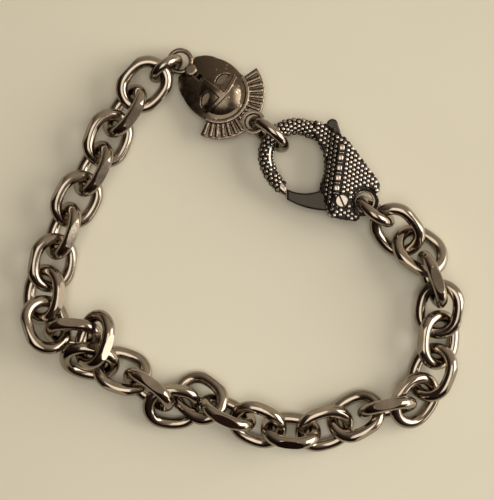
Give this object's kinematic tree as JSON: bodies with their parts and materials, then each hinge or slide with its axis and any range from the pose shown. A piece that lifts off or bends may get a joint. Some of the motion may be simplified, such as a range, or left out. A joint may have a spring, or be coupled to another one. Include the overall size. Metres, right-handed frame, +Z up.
{
  "type": "bracelet",
  "caption": "Chain bracelet of round-wire links with a beaded lobster clasp and a small cast charm, a crested helmet, lying closed on a table.",
  "frame": {"origin": "on the table, under the middle of the lying loop's box", "axes": "+Z up from the table; +Y from the wearer's side of the lying loop towards the charm; +X to the right"},
  "size_m": [0.0721, 0.0661, 0.0088],
  "materials": {
    "link_steel": "polished, darkened",
    "ring_steel": "polished, darkened",
    "charm_steel": "cast, darkened in the recesses",
    "clasp_oxidised": "granulated, blackened between the grains",
    "lever_satin": "satin",
    "screw_steel": "polished"
  },
  "bodies": {
    "bracelet": {"link_01": "link_steel", "link_02": "link_steel", "link_03": "link_steel", "link_04": "link_steel", "link_05": "link_steel", "link_06": "link_steel", "link_07": "link_steel", "link_08": "link_steel", "link_09": "link_steel", "link_10": "link_steel", "link_11": "link_steel", "link_12": "link_steel", "link_13": "link_steel", "link_14": "link_steel", "link_15": "link_steel", "link_16": "link_steel", "link_17": "link_steel", "link_18": "link_steel", "link_19": "link_steel", "link_20": "link_steel", "link_21": "link_steel", "link_22": "link_steel", "link_23": "link_steel", "link_24": "link_steel", "link_25": "link_steel", "link_26": "link_steel", "link_27": "link_steel", "link_28": "link_steel", "link_29": "link_steel", "connecting_ring": "ring_steel", "charm": "charm_steel", "hook_ring": "ring_steel", "clasp_body": "clasp_oxidised", "clasp_screw": "screw_steel", "base_ring": "ring_steel"},
    "lever": {"clasp_lever": "lever_satin"}
  },
  "joints": [
    {"name": "lever_swing", "type": "hinge", "parent": "bracelet", "child": "lever", "pos_m": [0.01594, 0.00791, 0.00289], "axis": [0.0329, -0.0199, 0.9993], "range_deg": [-22, 0], "stiffness_Nm_per_rad": 0.002, "springref_deg": 17.19}
  ]
}
